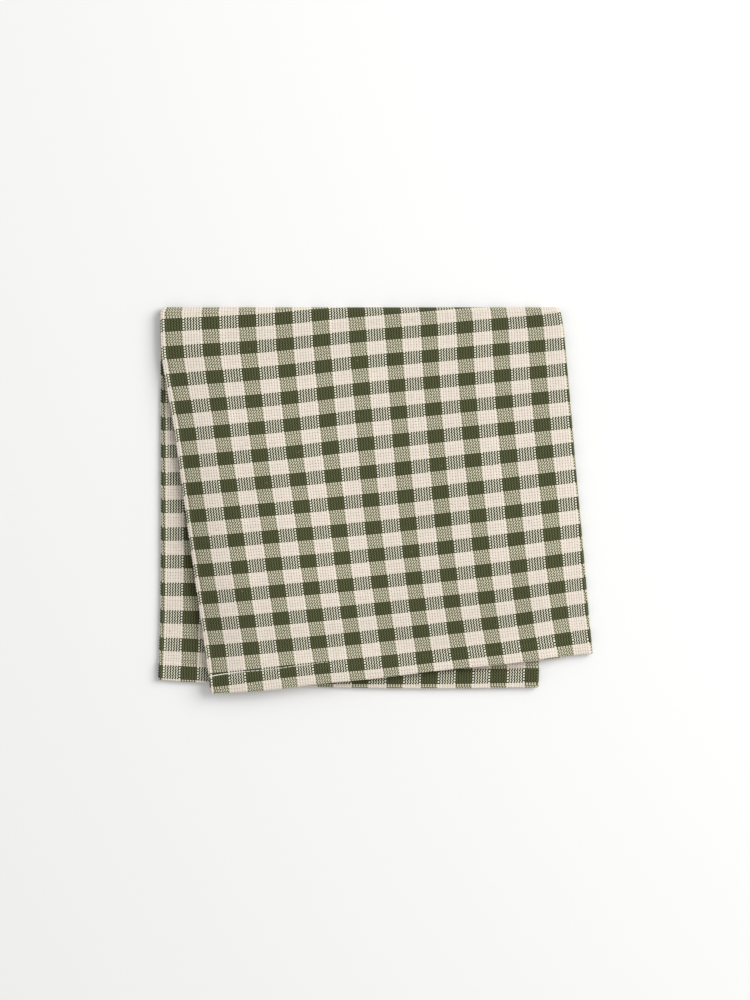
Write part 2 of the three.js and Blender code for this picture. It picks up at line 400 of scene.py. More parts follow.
@dataclass(frozen=True)
class FoldedForm:
    """The folded cloth's form, in millimetres. It follows its solid, with a finer surface."""

    front: Flap = Flap(FRONT_PLAN, FRONT_HEM_EDGE)
    back: Flap = Flap(BACK_PLAN, BACK_HEM_EDGE)
    layout: WeaveLayout = WeaveLayout()
    outline_middle: tuple[float, float] = (0.25, -0.46)

    # How thick the cloth is, and where its hems begin.
    cloth_thickness: float = 0.8
    hem_thickness: float = 1.45
    hem_depth: float = 9.6
    hem_ramp: float = 1.8
    hem_step: tuple[float, float] = (-1.4, 0.1)
    hem_rounding: float = 0.7
    selvedge_rounding: float = 0.35
    edge_bluntness: float = 0.03

    # How far the layers and the flaps stay apart.
    layer_gap: float = 0.7
    flap_clearance: float = 1.0
    table_clearance: float = 0.4

    # How far the folds stand out, and how their corners are drawn.
    outer_fold_reach: float = 3.0
    inner_fold_reach: float = 1.0
    book_fold_reach: float = 0.9
    book_fold_parting: float = 0.6
    book_fold_share: float = 0.06
    fold_corner_draw: float = 1.6
    selvedge_corner_draw: float = 0.8
    corner_share: float = 0.04

    # How the front flap steps down off the back one, and where its left side lifts.
    step_down_reach: float = 32.0
    step_down_lead: float = 2.0
    hem_step_reach: float = 16.0
    ridge_across: float = 0.12
    lift_across: float = 0.52

    # The stitched groove, the puckers beside it, and where the ripples fade at the back hem.
    stitch_dent: float = 0.3
    stitch_dent_width: float = 0.55
    pucker_length: float = 8.5
    pucker_rise: float = 0.12
    pucker_stray: float = 1.3
    pucker_stray_length: float = 17.0
    pucker_offset: float = 2.0
    pucker_spread: float = 5.0
    ripple_fade: float = 30.0

    def row(self, across: np.ndarray, station: Station, layer: Layer) -> np.ndarray:
        """Finds the row of the check at points of a layer.

        Args:
            across: the share of the way from the selvedge to the book fold.
            station: where the points lie along the cloth.
            layer: the layer they are on.

        Returns:
            The row, counted from the front hem.
        """
        front_hem, fold_front, fold_back, back_hem = (
            line.at(across) for line in self.layout.rows(layer)
        )
        if layer is Layer.OUTER:
            edge = read(self.front.hem_edge, "across", "shown", across) / self.front.length
            stretch = 1.0 + edge * smoothstep(station.front, self.front.hem_edge_start, 1.0)
            front = lerp(fold_front, front_hem, station.front * stretch)
            front = front + drift(ALONG_DRIFT, across, station.front)
        else:
            front = lerp(fold_front, front_hem, station.front)
        late = station.back * (1 + self.layout.back_lateness * across * (1 - station.back))
        back = lerp(fold_back, back_hem, late)
        return lerp(front, back, station.turn / math.pi)

    def hem_share(
        self, across: np.ndarray, station: Station, layer: Layer
    ) -> tuple[np.ndarray, np.ndarray]:
        """Works out how far points are into a hem, and how near to its stitching.

        Args:
            across: the share of the way from the selvedge to the book fold.
            station: where the points lie along the cloth.
            layer: the layer they are on.

        Returns:
            Two shares from 0 to 1: of the hem's full thickness, and of the stitching's groove.
        """
        row_pitch = self.front.length / self.layout.front_rows
        row = self.row(across, station, layer)
        front_seam = read(STITCH_ROWS, "across", "front", across)
        back_seam = self.layout.last_row - read(STITCH_ROWS, "across", "back", across)
        inside = np.maximum((front_seam - row) * row_pitch, (row - back_seam) * row_pitch)
        grooved = np.exp(-((inside / self.stitch_dent_width) ** 2))
        return smoothstep(inside, *self.hem_step), grooved

    def thickness(self, across: np.ndarray, station: Station, layer: Layer) -> np.ndarray:
        """Works out the cloth's thickness, with its hems, stitched grooves and rounded edges.

        Args:
            across: the share of the way from the selvedge to the book fold.
            station: where the points lie along the cloth.
            layer: the layer they are on.

        Returns:
            The thickness at each point.
        """
        hem, grooved = self.hem_share(across, station, layer)
        full = lerp(self.cloth_thickness, self.hem_thickness, hem) - self.stitch_dent * grooved
        from_front = (1 - station.front) * self.front.length
        from_back = (1 - station.back) * self.back.length
        edges = (
            (np.minimum(from_front, from_back), self.hem_rounding),
            (across * self.front.width, self.selvedge_rounding),
        )
        for distance, radius in edges:
            short = 1 - np.clip(distance / radius, 0.0, 1.0)
            full = full * np.sqrt(np.maximum(1 - short**2, self.edge_bluntness))
        return full

    def spacing(self, from_hem: np.ndarray) -> np.ndarray:
        """The thickness that the layers allow for, at a distance from the hem's edge."""
        hem = smoothstep(from_hem, self.hem_depth + self.hem_ramp, self.hem_depth)
        return lerp(self.cloth_thickness, self.hem_thickness, hem)

    def ripple(self, x: np.ndarray, y: np.ndarray) -> np.ndarray:
        """Adds up the slow waves of the lying cloth.

        Args:
            x: the places' x.
            y: the places' y.

        Returns:
            The height there, never below zero.
        """
        height = np.zeros(np.broadcast(x, y).shape)
        for wave in RIPPLES:
            heading = math.radians(wave.heading)
            along = x * math.cos(heading) + y * math.sin(heading)
            phase = 2 * math.pi * along / wave.length + wave.phase
            height += wave.rise * (1 + np.sin(phase)) / 2
        return height

    def pucker(self, x: np.ndarray, from_hem: np.ndarray) -> np.ndarray:
        """Works out the short puckers that the stitching draws into the cloth beside a hem.

        Args:
            x: the places along the hem.
            from_hem: how far they are from its edge.

        Returns:
            The puckers' height.
        """
        stray = self.pucker_stray * np.sin(x / self.pucker_stray_length)
        phase = 2 * math.pi * x / self.pucker_length + stray
        from_seam = from_hem - self.hem_depth - self.pucker_offset
        near = np.exp(-((from_seam / self.pucker_spread) ** 2))
        return self.pucker_rise * near * (1 + np.sin(phase)) / 2

    def parting(self, across: np.ndarray) -> np.ndarray:
        """The gap between the two layers, which opens at the book fold."""
        opening = smoothstep(across, 1 - self.book_fold_share, 1.0)
        return self.layer_gap + self.book_fold_parting * opening

    def back_heights(self, across: np.ndarray, down: np.ndarray) -> dict[Layer, np.ndarray]:
        """Works out how high the back flap lies: its outer layer on the table, its inner on that.

        Args:
            across: the share of the way from the selvedge to the book fold.
            down: the share of the way from the top fold to the hem.

        Returns:
            The height of each layer's middle.
        """
        from_hem = (1 - down) * self.back.length
        thickness = self.spacing(from_hem)
        x, y = self.back.place(across, down, 0.0)
        outer = thickness / 2 + self.ripple(x, y) * smoothstep(from_hem, 0.0, self.ripple_fade)
        inner = outer + thickness + self.parting(across) + self.pucker(x, from_hem)
        return {Layer.OUTER: outer, Layer.INNER: inner}

    def support(self, x: np.ndarray, y: np.ndarray) -> np.ndarray:
        """Works out how high the back flap, or the table past it, holds the front flap.

        Args:
            x: the places' x.
            y: the places' y.

        Returns:
            The height of the front flap's underside.
        """
        corner = self.back.plan[-1]
        top = self.back.plan[0].left_y
        down = np.clip((y - top) / (corner.right_y - top), 0.0, 1.0)
        right_edge = read(self.back.plan, "down", "right_x", down) + self.book_fold_reach
        across = np.clip((x - corner.left_x) / (right_edge - corner.left_x), 0.0, 1.0)
        _, bottom_edge = self.back.place(across, np.ones_like(across), 0.0)
        past = np.maximum(x - right_edge, bottom_edge - y)
        hem_top = bottom_edge + self.hem_depth
        over_hem = 1 - smoothstep(y - hem_top, 0.0, self.hem_step_reach)
        thickness = lerp(self.cloth_thickness, self.hem_thickness, over_hem)
        step_down = self.step_down_reach - self.step_down_lead
        held = 1 - smoothstep(past, -self.step_down_lead, step_down)
        clearance = lerp(self.table_clearance, self.flap_clearance, held)
        return held * (2 * thickness + self.layer_gap) + clearance

    def lift(self, across: np.ndarray, down: np.ndarray) -> np.ndarray:
        """Works out how far the front flap's loose left side lifts off what is below it.

        Args:
            across: the share of the way from the selvedge to the book fold.
            down: the share of the way from the top fold to the hem.

        Returns:
            The lift.
        """
        selvedge = read(LIFT, "down", "selvedge", down)
        ridge = read(LIFT, "down", "ridge", down)
        climb = np.sin((math.pi / 2) * np.clip(across / self.ridge_across, 0.0, 1.0))
        fall = ridge * (1 - smoothstep(across, self.ridge_across, self.lift_across))
        return np.where(across < self.ridge_across, lerp(selvedge, ridge, climb), fall)

    def swell(self, across: np.ndarray, down: np.ndarray) -> np.ndarray:
        """Adds up the front flap's low swells.

        Args:
            across: the share of the way from the selvedge to the book fold.
            down: the share of the way from the top fold to the hem.

        Returns:
            Their height.
        """
        height = np.zeros(np.broadcast(across, down).shape)
        for swell in SWELLS:
            wide = (across - swell.across) / swell.wide
            long = (down - swell.down) / swell.long
            height += swell.rise * np.exp(-(wide**2) - long**2)
        return height

    def front_heights(self, across: np.ndarray, down: np.ndarray) -> dict[Layer, np.ndarray]:
        """Works out how high the front flap lies: its inner layer on the back flap, then its outer.

        Args:
            across: the share of the way from the selvedge to the book fold.
            down: the share of the way from the top fold to the hem.

        Returns:
            The height of each layer's middle.
        """
        from_hem = (1 - down) * self.front.length
        thickness = self.spacing(from_hem)
        x, y = self.front.place(across, down, 0.0)
        raised = self.lift(across, down) + self.swell(across, down) + self.ripple(x, y)
        inner = self.support(x, y) + thickness / 2 + raised
        outer = inner + thickness + self.parting(across) + self.pucker(x, from_hem)
        return {Layer.OUTER: outer, Layer.INNER: inner}

    def middle(self, across: np.ndarray, station: Station, layer: Layer) -> np.ndarray:
        """Finds points on the middle of the sheet.

        Args:
            across: the share of the way from the selvedge to the book fold.
            station: where the points lie along the cloth.
            layer: the layer they are on.

        Returns:
            The points, the last axis being x, y and z.
        """
        under = float(layer.value)
        reach = self.inner_fold_reach if layer is Layer.INNER else self.outer_fold_reach
        front_z = self.front_heights(across, station.front)[layer]
        back_z = self.back_heights(across, station.back)[layer]
        front_x, front_y = self.front.place(across, station.front, under)
        back_x, back_y = self.back.place(across, station.back, 1.0 - under)
        turned = np.sin(station.turn)
        share = station.turn / math.pi
        draw_in = self.selvedge_corner_draw * (1 - smoothstep(across, 0.0, self.corner_share))
        draw_out = self.fold_corner_draw * smoothstep(across, 1 - self.corner_share, 1.0)
        x = lerp(front_x, back_x, share) + (draw_in - draw_out) * turned - self.outline_middle[0]
        y = lerp(front_y, back_y, share) + reach * turned - self.outline_middle[1]
        z = (front_z + back_z) / 2 + (front_z - back_z) / 2 * np.cos(station.turn)
        return np.stack(np.broadcast_arrays(x, y, z), axis=-1)

    def station(self, along: np.ndarray) -> Station:
        """Finds the station of places along the cloth.

        Args:
            along: 0 at the front hem, 1 to 2 over the top fold, and 3 at the back hem.

        Returns:
            The station.
        """
        front = np.clip(1.0 - along, 0.0, 1.0)
        back = np.clip(along - 2.0, 0.0, 1.0)
        return Station(front, back, math.pi * np.clip(along - 1.0, 0.0, 1.0))

    def sheet(
        self, outer: np.ndarray, fold: np.ndarray, inner: np.ndarray, along: np.ndarray
    ) -> Sheet:
        """Lays out the whole cloth as one grid of points.

        Args:
            outer: shares across the outer layer, from 0 to 1.
            fold: angles about the book fold, between 0 and half a turn.
            inner: shares across the inner layer, from 1 to 0.
            along: places along the cloth, from 0 to 3.

        Returns:
            The grid's points, one row for each place along the cloth.
        """
        station = self.station(along[:, None])
        outer, inner = outer[None, :], inner[None, :]
        middle, thickness, row = (
            (work(outer, station, Layer.OUTER), work(inner, station, Layer.INNER))
            for work in (self.middle, self.thickness, self.row)
        )
        column = (
            self.layout.outer_column(outer, station),
            self.layout.inner_column(inner) * np.ones((len(along), 1)),
        )
        grid = joined(middle, ((1 - np.cos(fold)) / 2)[None, :, None])
        bend = slice(outer.shape[1], outer.shape[1] + len(fold))
        grid[:, bend, 0] += self.book_fold_reach * np.sin(fold)
        around = (fold / math.pi)[None, :]
        weave = np.stack([joined(column, around), joined(row, around)], axis=-1)
        return Sheet(grid, surface_normals(grid), joined(thickness, around), weave)


def joined(layers: tuple[np.ndarray, np.ndarray], share: np.ndarray) -> np.ndarray:
    """Joins the outer and the inner layer's values by those of the book fold between them.

    Args:
        layers: each layer's values, by row and column.
        share: how far each of the fold's columns is from the outer layer to the inner one.

    Returns:
        The values of the outer layer, the fold and the inner layer.
    """
    outer, inner = layers
    bend = lerp(outer[:, -1:], inner[:, :1], share)
    return np.concatenate([outer, bend, inner], axis=1)


def unit(vectors: np.ndarray) -> np.ndarray:
    """Scales vectors to a length of 1."""
    return vectors / np.linalg.norm(vectors, axis=-1, keepdims=True)


def surface_normals(grid: np.ndarray) -> np.ndarray:
    """Finds a grid's unit normals, from the differences between each point's neighbours.

    Args:
        grid: the points, by row and column.

    Returns:
        A normal at each point.
    """
    padded = np.pad(grid, ((1, 1), (1, 1), (0, 0)), mode="edge")
    down = padded[2:, 1:-1] - padded[:-2, 1:-1]
    across = padded[1:-1, 2:] - padded[1:-1, :-2]
    return unit(np.cross(across, down))


def graded(stops: Sequence[tuple[float, int]]) -> np.ndarray:
    """Finds places that are evenly spaced between stops.

    Args:
        stops: each stop's place, and the number of steps that lead to it.

    Returns:
        All the places, in order, from the first stop to the last.
    """
    places = [np.array([stops[0][0]])]
    for (start, _), (end, steps) in zip(stops, stops[1:]):
        places.append(np.linspace(start, end, steps + 1)[1:])
    return np.concatenate(places)


class Mesh(NamedTuple):
    """A mesh under construction: its points in millimetres, and its four-sided faces."""

    points: np.ndarray
    faces: np.ndarray


def merged(parts: Sequence[Mesh]) -> Mesh:
    """Puts several meshes into one.

    Args:
        parts: the meshes.

    Returns:
        One mesh with all their points and faces.
    """
    counts = [len(part.points) for part in parts]
    starts = np.cumsum([0, *counts[:-1]])
    faces = [part.faces + start for part, start in zip(parts, starts)]
    return Mesh(np.concatenate([part.points for part in parts]), np.concatenate(faces))


def new_piece(name: str, shape: Mesh, weave: np.ndarray) -> bpy.types.Object:
    """Makes a smooth-shaded mesh object.

    Args:
        name: the piece's name.
        shape: its points and faces.
        weave: each point's place in the weave, for the UV map.

    Returns:
        The new object, at the origin.
    """
    mesh = bpy.data.meshes.new(name)
    above_table = shape.points * MM
    above_table[:, 2] = np.maximum(above_table[:, 2], 0.0)
    mesh.from_pydata(above_table.tolist(), [], shape.faces.tolist())
    layer = mesh.uv_layers.new(name=WEAVE_MAP)
    layer.data.foreach_set("uv", weave[shape.faces.ravel()].astype(np.float32).ravel())
    mesh.shade_smooth()
    mesh.update()
    piece = bpy.data.objects.new(name, mesh)
    bpy.context.scene.collection.objects.link(piece)
    return piece


def fit_out(piece: bpy.types.Object, material: bpy.types.Material) -> None:
    """Dresses a piece with its finish, and sets it on the part's body.

    Args:
        piece: the piece.
        material: its finish.
    """
    piece.data.materials.append(material)
    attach(piece, "root")


@dataclass
class FoldedCloth:
    """The napkin's cloth: one sheet with two faces, wound back and forth through its folds.

    The stops are shares across a layer, or millimetres from a hem's edge, and the steps that
    lead to each.
    """

    form: FoldedForm
    name: str = "folded_cloth"
    outer_stops: tuple[tuple[float, int], ...] = (
        (0.0, 0),
        (0.0016, 3),
        (0.012, 2),
        (0.94, 104),
        (1.0, 8),
    )
    inner_stops: tuple[tuple[float, int], ...] = (
        (1.0, 0),
        (0.94, 6),
        (0.16, 34),
        (0.012, 18),
        (0.0016, 2),
        (0.0, 3),
    )
    hem_stops: tuple[tuple[float, int], ...] = (
        (0.0, 0),
        (0.25, 2),
        (0.8, 2),
        (8.0, 5),
        (17.0, 13),
    )
    book_fold_steps: int = 10
    top_fold_steps: int = 14
    front_steps: int = 104
    back_steps: int = 78
    sheet: Sheet = field(init=False)

    def __post_init__(self) -> None:
        """Works out the cloth's grid of points."""
        front = self.flap_places(self.form.front, self.front_steps)
        back = self.flap_places(self.form.back, self.back_steps)
        turn = np.linspace(1.0, 2.0, self.top_fold_steps + 1)[1:-1]
        along = np.concatenate([front, turn, 3.0 - back[::-1]])
        fold = math.pi * np.arange(1, self.book_fold_steps) / self.book_fold_steps
        outer, inner = graded(self.outer_stops), graded(self.inner_stops)
        self.sheet = self.form.sheet(outer, fold, inner, along)

    def flap_places(self, flap: Flap, steps: int) -> np.ndarray:
        """Finds the places of a flap's rows of points.

        Args:
            flap: the flap.
            steps: how many steps lead from above its hem to the top fold.

        Returns:
            Shares of the flap, from 0 at its hem to 1 at the top fold.
        """
        hem = graded(self.hem_stops) / flap.length
        plain = np.linspace(self.hem_stops[-1][0] / flap.length, 1.0, steps + 1)[1:]
        return np.concatenate([hem, plain])

    def build(self) -> bpy.types.Object:
        """Builds the closed sheet: its two faces, and the walls round its edge.

        Returns:
            The piece.
        """
        middle, normal, thickness, weave = self.sheet
        half = normal * (thickness / 2)[..., None]
        points = np.concatenate([(middle + half).reshape(-1, 3), (middle - half).reshape(-1, 3)])
        top = np.arange(thickness.size).reshape(thickness.shape)
        bottom = top + thickness.size
        # `a` takes all rows or columns but the last, and `b` the next one after each of them.
        a, b = slice(None, -1), slice(1, None)
        # The upper face, the lower face, the two selvedges' walls, and the two hems' walls.
        walls = (
            (top[b, a], top[a, a], top[a, b], top[b, b]),
            (bottom[a, a], bottom[b, a], bottom[b, b], bottom[a, b]),
            (top[a, 0], top[b, 0], bottom[b, 0], bottom[a, 0]),
            (top[b, -1], top[a, -1], bottom[a, -1], bottom[b, -1]),
            (top[0, b], top[0, a], bottom[0, a], bottom[0, b]),
            (top[-1, a], top[-1, b], bottom[-1, b], bottom[-1, a]),
        )
        faces = np.concatenate([np.stack(wall, axis=-1).reshape(-1, 4) for wall in walls])
        return new_piece(self.name, Mesh(points, faces), np.tile(weave.reshape(-1, 2), (2, 1)))


def sample(grid: np.ndarray, row: np.ndarray, column: np.ndarray) -> np.ndarray:
    """Reads a grid between its points.

    Args:
        grid: values for each row and column.
        row: places along the rows, which may lie between two.
        column: places along the columns, which may lie between two.

    Returns:
        The grid's values at those places.
    """
    r = np.clip(np.floor(row).astype(int), 0, grid.shape[0] - 2)
    c = np.clip(np.floor(column).astype(int), 0, grid.shape[1] - 2)
    s, t = row - r, column - c
    if grid.ndim == 3:
        s, t = s[:, None], t[:, None]
    near = lerp(grid[r, c], grid[r, c + 1], t)
    far = lerp(grid[r + 1, c], grid[r + 1, c + 1], t)
    return lerp(near, far, s)


def tube(
    path: np.ndarray, side: np.ndarray, up: np.ndarray, radius: np.ndarray, sides: int
) -> Mesh:
    """Sweeps a round section along a path, with its two ends closed.

    Args:
        path: the points that it follows.
        side: a unit vector across the path at each point.
        up: another, square to the first.
        radius: the section's radius at each point.
        sides: how many sides the section has, an even number.

    Returns:
        The tube.
    """
    angle = 2 * math.pi * np.arange(sides) / sides
    round_side = side[:, None] * np.cos(angle)[None, :, None]
    ring = round_side + up[:, None] * np.sin(angle)[None, :, None]
    points = (path[:, None] + radius[:, None, None] * ring).reshape(-1, 3)
    index = np.arange(len(path) * sides).reshape(len(path), sides)
    turned = np.roll(index, -1, axis=1)
    walls = np.stack([index[:-1], turned[:-1], turned[1:], index[1:]], axis=-1).reshape(-1, 4)
    # Each end is closed by a fan of four-sided faces, wound to face outwards.
    caps = []
    for end, order in ((index[0], -1), (index[-1], 1)):
        for k in range(1, sides - 2, 2):
            caps.append((end[0], *end[k : k + 3])[::order])
    return Mesh(points, np.concatenate([walls, np.array(caps)]))


class Hem(Enum):
    """The two hems: the front flap's, and the back flap's."""

    FRONT = "front"
    BACK = "back"


class Face(Enum):
    """The cloth's two faces: the right side, on the outside of the folds, and the wrong side."""

    RIGHT = 1.0
    WRONG = -1.0


@dataclass
class HemThread:
    """One hem's sewing thread: a row of small stitches on each face, from selvedge to selvedge.

    Sizes are in millimetres. The front hem's thread is loose over its first columns of the check,
    and sinks into the cloth over the next.
    """

    cloth: FoldedCloth
    hem: Hem
    radius: float = 0.19
    loose_radius: float = 0.32
    height: float = 0.02
    loose_height: float = 0.26
    loose_columns: tuple[float, float] = (0.6, 1.3)
    sunk_in: float = 0.22
    sinking_columns: tuple[float, float] = (2.4, 4.2)
    stitch: float = 2.7
    steps_per_stitch: int = 7
    dip: float = 0.42
    dip_share: float = 0.1
    sides: int = 6
    wobble: float = 0.1
    wobble_length: float = 3.1
    wobble_stray: float = 1.7
    wobble_stray_length: float = 11.0
    end_inset: float = 0.4
    seam_steps: int = 4000

    def seam(self) -> tuple[np.ndarray, np.ndarray]:
        """Finds the seam's way over the cloth's grid.

        Returns:
            Fine steps along it: their row and their column numbers, which may lie between two.
        """
        sheet = self.cloth.sheet
        layout = self.cloth.form.layout
        rows, columns = (np.arange(count) for count in sheet.thickness.shape)
        u = sheet.weave[-1, :, 0]
        across = np.where(
            columns * 2 < len(columns),
            (u - layout.outer_selvedge) / (layout.outer_fold - layout.outer_selvedge),
            (layout.inner_selvedge - u) / (layout.inner_selvedge - layout.inner_fold),
        )
        wanted = read(STITCH_ROWS, "across", self.hem.value, np.clip(across, 0.0, 1.0))
        if self.hem is Hem.BACK:
            wanted = layout.last_row - wanted
        at = np.array([np.interp(wanted[c], sheet.weave[:, c, 1], rows) for c in columns])
        last = columns[-1] - self.end_inset
        column = np.linspace(self.end_inset, last, self.seam_steps)
        return np.interp(column, columns, at), column

    def places(self) -> tuple[np.ndarray, np.ndarray, np.ndarray]:
        """Steps evenly along the seam, by whole stitches.

        Returns:
            How far along the seam each step is, and its row and column numbers.
        """
        row, column = self.seam()
        line = sample(self.cloth.sheet.middle, row, column)
        steps = np.linalg.norm(np.diff(line, axis=0), axis=1)
        walked = np.concatenate([[0.0], np.cumsum(steps)])
        stitches = int(walked[-1] / self.stitch)
        place = np.linspace(0.0, walked[-1], stitches * self.steps_per_stitch + 1)
        return place, np.interp(place, walked, row), np.interp(place, walked, column)

    def build(self) -> bpy.types.Object:
        """Builds both rows of stitches: each lies on the cloth, and dips into it at its two ends.

        Returns:
            The piece.
        """
        sheet = self.cloth.sheet
        place, row, column = self.places()
        middle = sample(sheet.middle, row, column)
        normal = unit(sample(sheet.normal, row, column))
        depth = sample(sheet.thickness, row, column)
        share = np.arange(len(place)) % self.steps_per_stitch / self.steps_per_stitch
        share = np.minimum(share, 1 - share)
        dip = self.dip * np.exp(-((share / self.dip_share) ** 2))
        across = sample(sheet.weave, row, column)[:, 0] - self.cloth.form.layout.outer_selvedge
        tight = sinking = np.ones(len(place))
        if self.hem is Hem.FRONT:
            tight = smoothstep(across, *self.loose_columns)
            sinking = smoothstep(across, *self.sinking_columns)
        proud = lerp(self.loose_height, self.height, tight) - self.sunk_in * sinking
        radius = lerp(self.loose_radius, self.radius, tight)
        stray = self.wobble_stray * np.sin(place / self.wobble_stray_length)
        wobble = self.wobble * np.sin(place / self.wobble_length + stray)
        side = np.cross(normal, unit(np.gradient(middle, axis=0)))
        parts = []
        for face in Face:
            height = face.value * (depth / 2 + proud - dip)
            path = middle + normal * height[:, None] + side * (wobble * face.value)[:, None]
            thread = tube(path, side, normal * face.value, radius, self.sides)
            if face is Face.WRONG:
                thread = Mesh(thread.points, thread.faces[:, ::-1])
            parts.append(thread)
        around = np.tile(np.arange(self.sides) / self.sides, len(place))
        along = np.repeat(place / self.stitch, self.sides)
        thread_map = np.stack([around, along], axis=-1)
        name = f"{self.hem.value}_hem_thread"
        return new_piece(name, merged(parts), np.tile(thread_map, (2, 1)))


@dataclass
class SelvedgeLoops:
    """The small loops of weft yarn that turn back at the two selvedges, in millimetres."""

    cloth: FoldedCloth
    name: str = "selvedge_loops"
    picks_per_row: int = 20
    reach: float = 0.24
    radius: float = 0.22
    tuck: float = 0.5
    width_share: float = 0.3
    inward_columns: int = 3
    sides: int = 6
    rings: int = 5

    def loop(self, centre: float, column: int) -> Mesh:
        """Builds one loop.

        Args:
            column: the selvedge's column in the cloth's grid, 0 or -1.

        Returns:
            The loop.
        """
        sheet = self.cloth.sheet
        rows, columns = (np.arange(count) for count in sheet.thickness.shape)
        turn = np.linspace(-math.pi / 2, math.pi / 2, self.rings)
        wide = np.sin(turn) * (2 / self.picks_per_row) * self.width_share
        row = np.interp(centre + wide, sheet.weave[:, column, 1], rows)
        inward = self.inward_columns if column == 0 else column - self.inward_columns
        at, inside = (np.full(self.rings, float(columns[c])) for c in (column, inward))
        edge = sample(sheet.middle, row, at)
        out = unit(edge - sample(sheet.middle, row, inside))
        reach = np.cos(turn) * self.reach - (1 - np.cos(turn)) * self.tuck
        path = edge + out * reach[:, None]
        forward = unit(np.gradient(path, axis=0))
        side = unit(np.cross(forward, sample(sheet.normal, row, at)))
        radius = np.full(self.rings, self.radius)
        return tube(path, side, np.cross(side, forward), radius, self.sides)

    def edge(self, column: int) -> tuple[Mesh, np.ndarray]:
        """Builds the loops of one selvedge.

        Args:
            column: the selvedge's column in the cloth's grid, 0 or -1.

        Returns:
            The loops, and each point's place in the weave.
        """
        u, v = self.cloth.sheet.weave[:, column].T
        pitch = 2 / self.picks_per_row
        first = math.ceil(v[0] / pitch) * pitch + pitch / 2
        centres = np.arange(first, v[-1] - pitch / 2, pitch)
        loops = merged([self.loop(centre, column) for centre in centres])
        row = np.repeat(centres, self.rings * self.sides)
        return loops, np.stack([np.full(len(row), u[0]), row], axis=-1)

    def build(self) -> bpy.types.Object:
        """Builds the loops of both selvedges as one piece.

        Returns:
            The piece.
        """
        shapes, weaves = zip(self.edge(0), self.edge(-1))
        return new_piece(self.name, merged(shapes), np.concatenate(weaves))


Socket = bpy.types.NodeSocket
Amount = Union["Field", float]
Paint = Union[str, Socket]


class Field:
    """A number that varies over a surface: one socket of a node tree, with plain arithmetic."""

    def __init__(self, tree: bpy.types.NodeTree, socket: Socket) -> None:
        """Holds a socket of a tree."""
        self.tree = tree
        self.socket = socket

    def maths(self, operation: str, *others: Amount) -> "Field":
        """Adds one Math node.

        Args:
            operation: the node's operation.
            others: the values after this one.

        Returns:
            What the node gives.
        """
        node = self.tree.nodes.new("ShaderNodeMath")
        node.operation = operation
        for socket, value in zip(node.inputs, (self, *others)):
            if isinstance(value, Field):
                self.tree.links.new(value.socket, socket)
            else:
                socket.default_value = value
        return Field(self.tree, node.outputs[0])

    def __add__(self, other: Amount) -> "Field":
        """The sum."""
        return self.maths("ADD", other)

    def __sub__(self, other: Amount) -> "Field":
        """The difference."""
        return self.maths("SUBTRACT", other)

    def __mul__(self, other: Amount) -> "Field":
        """The product."""
        return self.maths("MULTIPLY", other)

    def __mod__(self, other: float) -> "Field":
        """What is left after division, from 0 up."""
        return self.maths("FLOORED_MODULO", other)

    def __gt__(self, other: Amount) -> "Field":
        """1 where this is the greater, and 0 elsewhere."""
        return self.maths("GREATER_THAN", other)

    def floor(self) -> "Field":
        """The whole number below."""
        return self.maths("FLOOR")

    def sin(self) -> "Field":
        """The sine, of radians."""
        return self.maths("SINE")

    def cos(self) -> "Field":
        """The cosine, of radians."""
        return self.maths("COSINE")

    def absolute(self) -> "Field":
        """The size without its sign."""
        return self.maths("ABSOLUTE")

    def least(self, other: Amount) -> "Field":
        """The lesser of two."""
        return self.maths("MINIMUM", other)

    def most(self, other: Amount) -> "Field":
        """The greater of two."""
        return self.maths("MAXIMUM", other)

    def within(self, low: float, high: float) -> "Field":
        """Held between two numbers."""
        return self.most(low).least(high)

    def opposite(self) -> "Field":
        """1 less this: 1 where this is 0, and 0 where this is 1."""
        return self * -1.0 + 1.0

    def mix(self, low: Amount, high: Amount) -> "Field":
        """Mixes two numbers: the first where this is 0, and the second where this is 1."""
        return self.opposite() * low + self * high

    def ramp(self, low: float, high: float) -> "Field":
        """Rises smoothly.

        Args:
            low: where it is 0, and below.
            high: where it is 1, and above.

        Returns:
            The share of the rise.
        """
        node = self.tree.nodes.new("ShaderNodeMapRange")
        node.interpolation_type = "SMOOTHSTEP"
        self.tree.links.new(self.socket, node.inputs["Value"])
        node.inputs["From Min"].default_value = low
        node.inputs["From Max"].default_value = high
        return Field(self.tree, node.outputs["Result"])


def linear(colour: str) -> tuple[float, float, float]:
    """Turns a display (sRGB) colour, such as "e6dccb", into linear red, green and blue."""
    values = [int(colour[k : k + 2], 16) / 255 for k in (0, 2, 4)]
    return tuple(v / 12.92 if v <= 0.04045 else ((v + 0.055) / 1.055) ** 2.4 for v in values)


